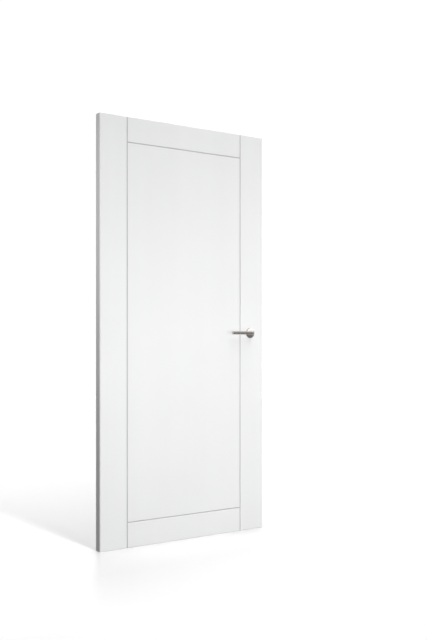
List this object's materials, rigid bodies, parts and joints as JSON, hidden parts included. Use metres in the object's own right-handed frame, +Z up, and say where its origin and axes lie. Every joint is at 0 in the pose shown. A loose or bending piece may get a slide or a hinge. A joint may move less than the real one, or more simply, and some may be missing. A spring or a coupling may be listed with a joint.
{
  "type": "flush hollow core door leaf with lever handle",
  "caption": "White painted flush hollow core door leaf with V-grooved faces, a honeycomb core, a round bar lever on a round rose on each face and a tubular latch.",
  "frame": {"origin": "on the hinge edge's face, halfway through the thickness, at the level of the bottom edge", "axes": "+X across the leaf from the hinge edge to the lock edge, -Y out of the front face, +Z up"},
  "size_m": [0.941, 0.136, 2.015],
  "materials": {
    "painted_board": "fibreboard skin with white satin paint",
    "painted_timber": "softwood lipping with white satin paint",
    "bare_timber": "planed softwood",
    "kraft_paper": "plain kraft paper",
    "satin_nickel": "satin nickel plate",
    "plated_steel": "bright zinc plate",
    "cast_zinc": "bare die-cast zinc"
  },
  "bodies": {
    "leaf": {"front_skin": "painted_board", "back_skin": "painted_board", "hinge_lipping": "painted_timber", "lock_lipping": "painted_timber", "hinge_stile": "bare_timber", "lock_stile": "bare_timber", "top_rail": "bare_timber", "bottom_rail": "bare_timber", "lock_block": "bare_timber", "honeycomb_core": "kraft_paper", "latch_case": "plated_steel", "latch_forend": "satin_nickel", "latch_bolt": "plated_steel", "upper_forend_screw": "plated_steel", "lower_forend_screw": "plated_steel", "front_rose": "satin_nickel", "back_rose": "satin_nickel", "front_rose_base": "cast_zinc", "back_rose_base": "cast_zinc", "upper_rose_bolt": "plated_steel", "lower_rose_bolt": "plated_steel"},
    "handle": {"front_lever": "satin_nickel", "back_lever": "satin_nickel", "spindle": "plated_steel", "latch_follower": "cast_zinc", "front_grub_screw": "plated_steel", "back_grub_screw": "plated_steel"}
  },
  "joints": [
    {"name": "handle_turn", "type": "hinge", "parent": "leaf", "child": "handle", "pos_m": [0.85, 0, 1.0075], "axis": [0, -1, 0], "range_deg": [0, 40], "stiffness_Nm_per_rad": 1.5, "springref_deg": -34.38}
  ]
}
